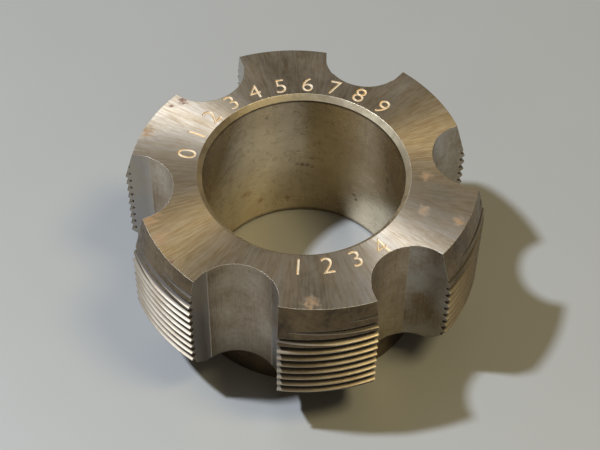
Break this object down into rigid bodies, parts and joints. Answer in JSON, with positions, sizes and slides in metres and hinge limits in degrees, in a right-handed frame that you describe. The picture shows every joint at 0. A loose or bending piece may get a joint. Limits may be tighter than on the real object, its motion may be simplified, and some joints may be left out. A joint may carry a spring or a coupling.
{
  "type": "hollow thread tap ring",
  "caption": "Hollow ring tap: straight-fluted lands with a fine outside thread, a short taper lead, a plain through bore and a plain hub behind.",
  "frame": {"origin": "centre of the hub's seat face, on the bore axis", "axes": "+Z along the bore axis from the hub to the lead face; the cutting edges face anticlockwise seen from +Z"},
  "size_m": [0.0358, 0.036, 0.018],
  "materials": {
    "tool_steel": "ground bare tool steel with a warm grey-brown patina and light rust spots"
  },
  "bodies": {
    "root": {"tap_ring": "tool_steel"}
  },
  "joints": []
}
